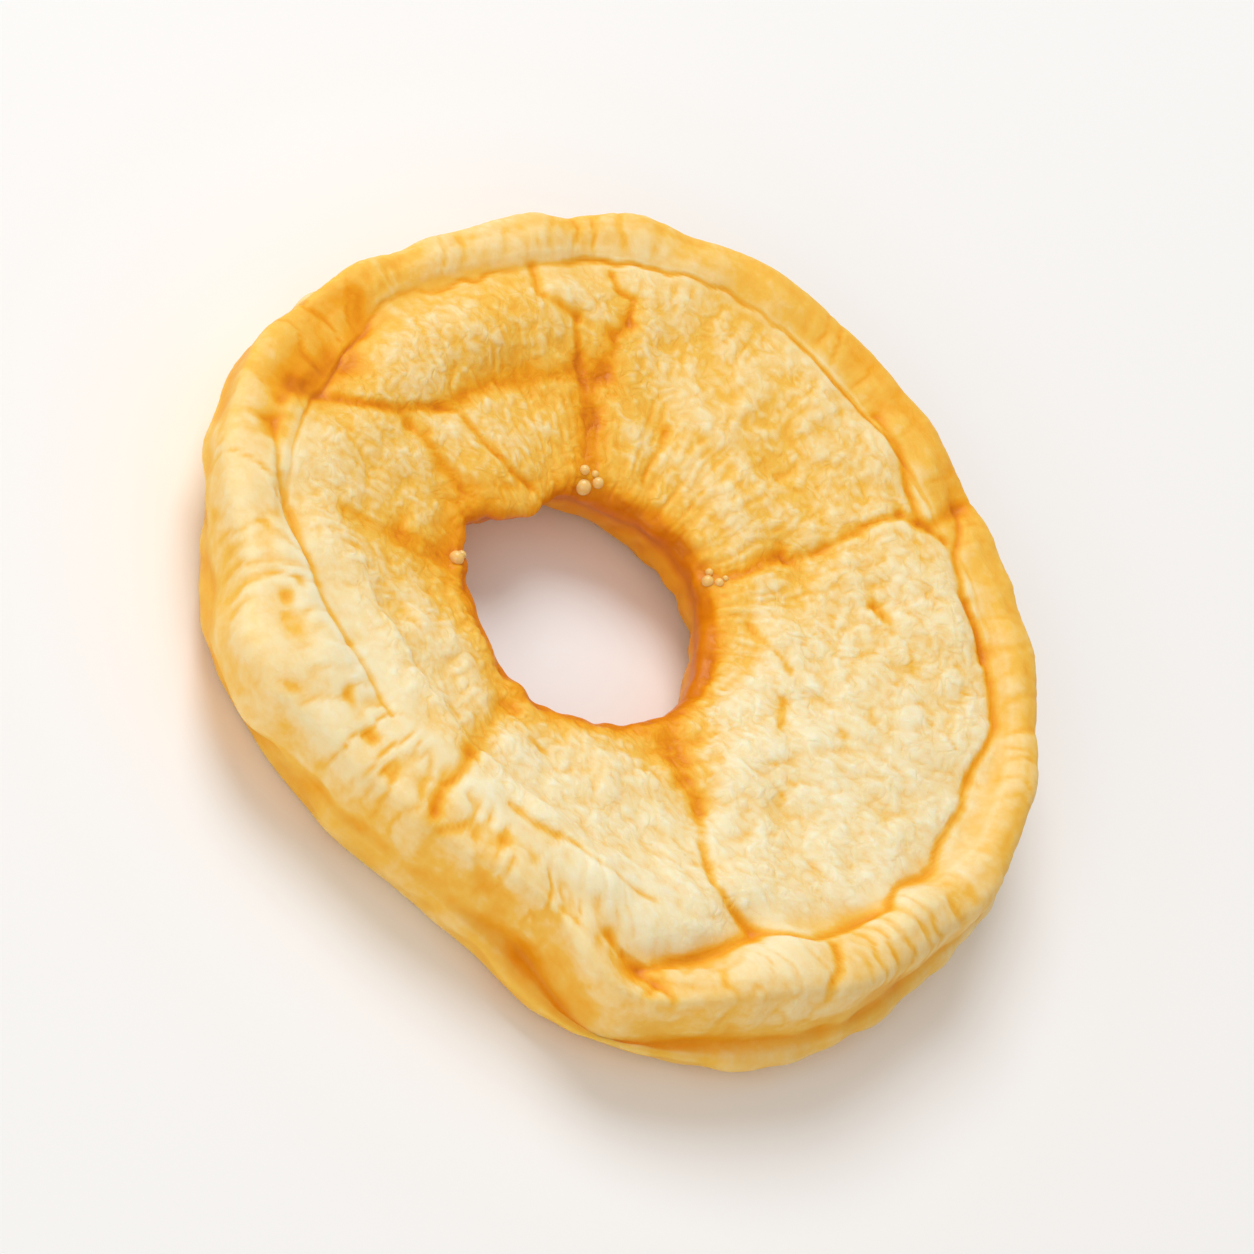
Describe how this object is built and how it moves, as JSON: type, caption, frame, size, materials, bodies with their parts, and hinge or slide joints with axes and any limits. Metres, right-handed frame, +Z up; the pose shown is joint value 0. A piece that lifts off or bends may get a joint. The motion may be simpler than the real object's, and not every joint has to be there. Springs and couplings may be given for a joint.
{
  "type": "dried apple ring",
  "caption": "Dried apple ring: a cored, crosswise slice, creased from the core hole outwards, with a puffed rim and a drawn-in side between two lips.",
  "frame": {"origin": "centre of the ring's bounding box in plan, on the surface that it lies on", "axes": "+Z up through the core hole, out of the cut face that shows; +X and +Y lie in the plane of the ring"},
  "size_m": [0.0652, 0.065, 0.01],
  "materials": {
    "dried_flesh": "dry, leathery and slightly translucent fruit flesh, cream on the cut face and amber in the creases"
  },
  "bodies": {
    "root": {"apple_ring": "dried_flesh"}
  },
  "joints": []
}
